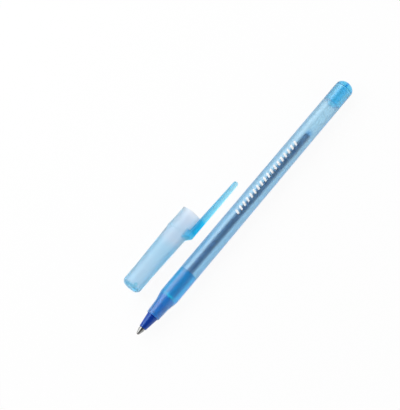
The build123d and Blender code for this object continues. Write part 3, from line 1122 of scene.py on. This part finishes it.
def make_stage(stage):
    """Floor, camera, lights and surroundings."""
    scene = bpy.context.scene
    half = stage.floor_size / 2
    corners = [(-half, -half, 0), (half, -half, 0), (half, half, 0), (-half, half, 0)]
    mesh = bpy.data.meshes.new("floor")
    mesh.from_pydata(corners, [], [(0, 1, 2, 3)])
    mesh.materials.append(floor_material(stage))
    floor = bpy.data.objects.new("floor", mesh)
    scene.collection.objects.link(floor)
    add_camera(scene, stage)
    add_light("key_light", stage.key, KEY_SIZE, stage.key_angle)
    fill = add_light("fill_light", stage.fill, FILL_SIZE, stage.fill_angle)
    fill.visible_glossy = False
    add_surroundings(scene, stage)
    scene.view_settings.view_transform = "Standard"
    # Light crosses many walls in the plug, the barrel and the cap
    scene.cycles.max_bounces = 24
    scene.cycles.glossy_bounces = 16
    scene.cycles.transmission_bounces = 24


class PenOperator:
    """What the operators share: their function is called with the property groups that they name."""

    bl_options = {"REGISTER", "UNDO"}
    groups = ("pen_sizes", "pen_colours")

    def execute(self, context):
        self.make(*(getattr(context.scene, group) for group in self.groups))
        return {"FINISHED"}


class PEN_OT_barrel(PenOperator, bpy.types.Operator):
    """Turn the frosted barrel"""

    bl_idname = "pen.barrel"
    bl_label = "Barrel"
    make = staticmethod(make_barrel)


class PEN_OT_end_plug(PenOperator, bpy.types.Operator):
    """Turn the domed end plug"""

    bl_idname = "pen.end_plug"
    bl_label = "End Plug"
    make = staticmethod(make_end_plug)


class PEN_OT_tip_holder(PenOperator, bpy.types.Operator):
    """Turn the dark blue tip holder"""

    bl_idname = "pen.tip_holder"
    bl_label = "Tip Holder"
    make = staticmethod(make_tip_holder)


class PEN_OT_point_socket(PenOperator, bpy.types.Operator):
    """Turn the metal point"""

    bl_idname = "pen.point_socket"
    bl_label = "Metal Point"
    make = staticmethod(make_point_socket)


class PEN_OT_writing_ball(PenOperator, bpy.types.Operator):
    """Turn the ball"""

    bl_idname = "pen.writing_ball"
    bl_label = "Writing Ball"
    groups = ("pen_colours",)
    make = staticmethod(make_writing_ball)


class PEN_OT_ink_tube(PenOperator, bpy.types.Operator):
    """Turn the ink tube"""

    bl_idname = "pen.ink_tube"
    bl_label = "Ink Tube"
    make = staticmethod(make_ink_tube)


class PEN_OT_ink(PenOperator, bpy.types.Operator):
    """Fill the tube with ink"""

    bl_idname = "pen.ink"
    bl_label = "Ink"
    make = staticmethod(make_ink)


class PEN_OT_print(PenOperator, bpy.types.Operator):
    """Print the row of ticks on the barrel"""

    bl_idname = "pen.print_ticks"
    bl_label = "Print"
    groups = ("print_sizes", "pen_sizes", "pen_colours")
    make = staticmethod(make_print)


class PEN_OT_cap(PenOperator, bpy.types.Operator):
    """Make the cap with its clip"""

    bl_idname = "pen.cap"
    bl_label = "Cap"
    groups = ("cap_sizes", "pen_colours")
    make = staticmethod(make_cap)


class PEN_OT_stage(PenOperator, bpy.types.Operator):
    """Set up the floor, the camera and the light"""

    bl_idname = "pen.stage"
    bl_label = "Stage"
    groups = ("pen_stage",)
    make = staticmethod(make_stage)


OPERATORS = (
    PEN_OT_barrel, PEN_OT_end_plug, PEN_OT_tip_holder, PEN_OT_point_socket, PEN_OT_writing_ball,
    PEN_OT_ink_tube, PEN_OT_ink, PEN_OT_print, PEN_OT_cap, PEN_OT_stage,
)


class PEN_PT_panel(bpy.types.Panel):
    """Sidebar panel that lists the pen's operators"""

    bl_idname = "PEN_PT_panel"
    bl_label = "Stick Ballpoint Pen"
    bl_space_type = "VIEW_3D"
    bl_region_type = "UI"
    bl_category = "Pen"

    def draw(self, context):
        for operator in OPERATORS:
            self.layout.operator(operator.bl_idname)


GROUPS = {
    "pen_sizes": PenSizes, "print_sizes": PrintSizes, "cap_sizes": CapSizes, "pen_colours": PenColours,
    "pen_stage": StageSettings,
}


def register():
    """Register the property groups, the operators and the panel."""
    for group in GROUPS.values():
        bpy.utils.register_class(group)
    for name, group in GROUPS.items():
        setattr(bpy.types.Scene, name, bpy.props.PointerProperty(type=group))
    for operator in OPERATORS:
        bpy.utils.register_class(operator)
    bpy.utils.register_class(PEN_PT_panel)


def unregister():
    """Take back what register did, in reverse."""
    bpy.utils.unregister_class(PEN_PT_panel)
    for operator in reversed(OPERATORS):
        bpy.utils.unregister_class(operator)
    for name in GROUPS:
        delattr(bpy.types.Scene, name)
    for group in reversed(list(GROUPS.values())):
        bpy.utils.unregister_class(group)


def main():
    """Register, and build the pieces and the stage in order."""
    register()
    for operator in OPERATORS:
        getattr(bpy.ops.pen, operator.bl_idname.split(".")[1])()


if __name__ == "__main__":
    main()
